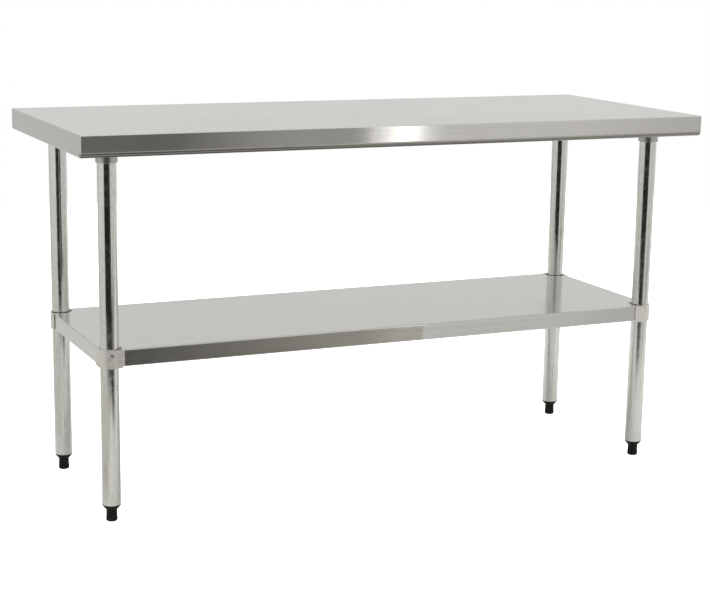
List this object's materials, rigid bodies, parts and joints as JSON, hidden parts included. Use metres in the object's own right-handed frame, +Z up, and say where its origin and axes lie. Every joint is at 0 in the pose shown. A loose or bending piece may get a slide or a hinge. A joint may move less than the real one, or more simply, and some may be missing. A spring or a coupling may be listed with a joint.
{
  "type": "work table",
  "caption": "Flat rectangular metal work table with turned-down edges on round tube legs, an adjustable undershelf clamped to the legs, and levelling feet.",
  "frame": {"origin": "on the floor under the middle of the table", "axes": "+X along the table's length to the right, +Y to the back, +Z up"},
  "size_m": [1.524, 0.61, 0.864],
  "materials": {
    "stainless": "stainless sheet with a satin grain along its length",
    "galvanised": "hot-dip galvanised sheet, fine spangle",
    "galvanised_tube": "galvanised tube, smooth and bright with a fine mottled spangle",
    "cast_bracket": "tumbled cast aluminium, matt",
    "zinc_fastener": "zinc-plated steel fasteners",
    "black_nylon": "moulded black nylon, satin"
  },
  "bodies": {
    "frame": {"top_sheet": "stainless", "end_channel_left": "galvanised", "end_channel_right": "galvanised", "long_channel": "galvanised", "channel_nut_left_outer_front": "zinc_fastener", "channel_nut_left_outer_rear": "zinc_fastener", "channel_nut_left_inner_front": "zinc_fastener", "channel_nut_left_inner_rear": "zinc_fastener", "channel_nut_right_outer_front": "zinc_fastener", "channel_nut_right_outer_rear": "zinc_fastener", "channel_nut_right_inner_front": "zinc_fastener", "channel_nut_right_inner_rear": "zinc_fastener", "channel_nut_middle_left_front": "zinc_fastener", "channel_nut_middle_left_rear": "zinc_fastener", "channel_nut_middle_right_front": "zinc_fastener", "channel_nut_middle_right_rear": "zinc_fastener", "leg_socket_front_left": "galvanised", "socket_screw_front_left": "zinc_fastener", "leg_front_left": "galvanised_tube", "foot_insert_front_left": "black_nylon", "leg_socket_front_right": "galvanised", "socket_screw_front_right": "zinc_fastener", "leg_front_right": "galvanised_tube", "foot_insert_front_right": "black_nylon", "leg_socket_rear_left": "galvanised", "socket_screw_rear_left": "zinc_fastener", "leg_rear_left": "galvanised_tube", "foot_insert_rear_left": "black_nylon", "leg_socket_rear_right": "galvanised", "socket_screw_rear_right": "zinc_fastener", "leg_rear_right": "galvanised_tube", "foot_insert_rear_right": "black_nylon"},
    "shelf": {"undershelf": "stainless", "shelf_channel": "galvanised", "shelf_bracket_front_left": "cast_bracket", "shelf_screw_front_left": "zinc_fastener", "bracket_screw_front_left_long": "zinc_fastener", "bracket_screw_front_left_end": "zinc_fastener", "shelf_bracket_front_right": "cast_bracket", "shelf_screw_front_right": "zinc_fastener", "bracket_screw_front_right_long": "zinc_fastener", "bracket_screw_front_right_end": "zinc_fastener", "shelf_bracket_rear_left": "cast_bracket", "shelf_screw_rear_left": "zinc_fastener", "bracket_screw_rear_left_long": "zinc_fastener", "bracket_screw_rear_left_end": "zinc_fastener", "shelf_bracket_rear_right": "cast_bracket", "shelf_screw_rear_right": "zinc_fastener", "bracket_screw_rear_right_long": "zinc_fastener", "bracket_screw_rear_right_end": "zinc_fastener"},
    "foot_front_left": {"levelling_foot_front_left": "black_nylon"},
    "foot_front_right": {"levelling_foot_front_right": "black_nylon"},
    "foot_rear_left": {"levelling_foot_rear_left": "black_nylon"},
    "foot_rear_right": {"levelling_foot_rear_right": "black_nylon"}
  },
  "joints": [
    {"name": "shelf_height", "type": "slide", "parent": "frame", "child": "shelf", "axis": [0, 0, 1], "range_m": [-0.3, 0.38]},
    {"name": "foot_level_front_left", "type": "slide", "parent": "frame", "child": "foot_front_left", "axis": [0, 0, -1], "range_m": [0, 0.025]},
    {"name": "foot_level_front_right", "type": "slide", "parent": "frame", "child": "foot_front_right", "axis": [0, 0, -1], "range_m": [0, 0.025]},
    {"name": "foot_level_rear_left", "type": "slide", "parent": "frame", "child": "foot_rear_left", "axis": [0, 0, -1], "range_m": [0, 0.025]},
    {"name": "foot_level_rear_right", "type": "slide", "parent": "frame", "child": "foot_rear_right", "axis": [0, 0, -1], "range_m": [0, 0.025]}
  ]
}
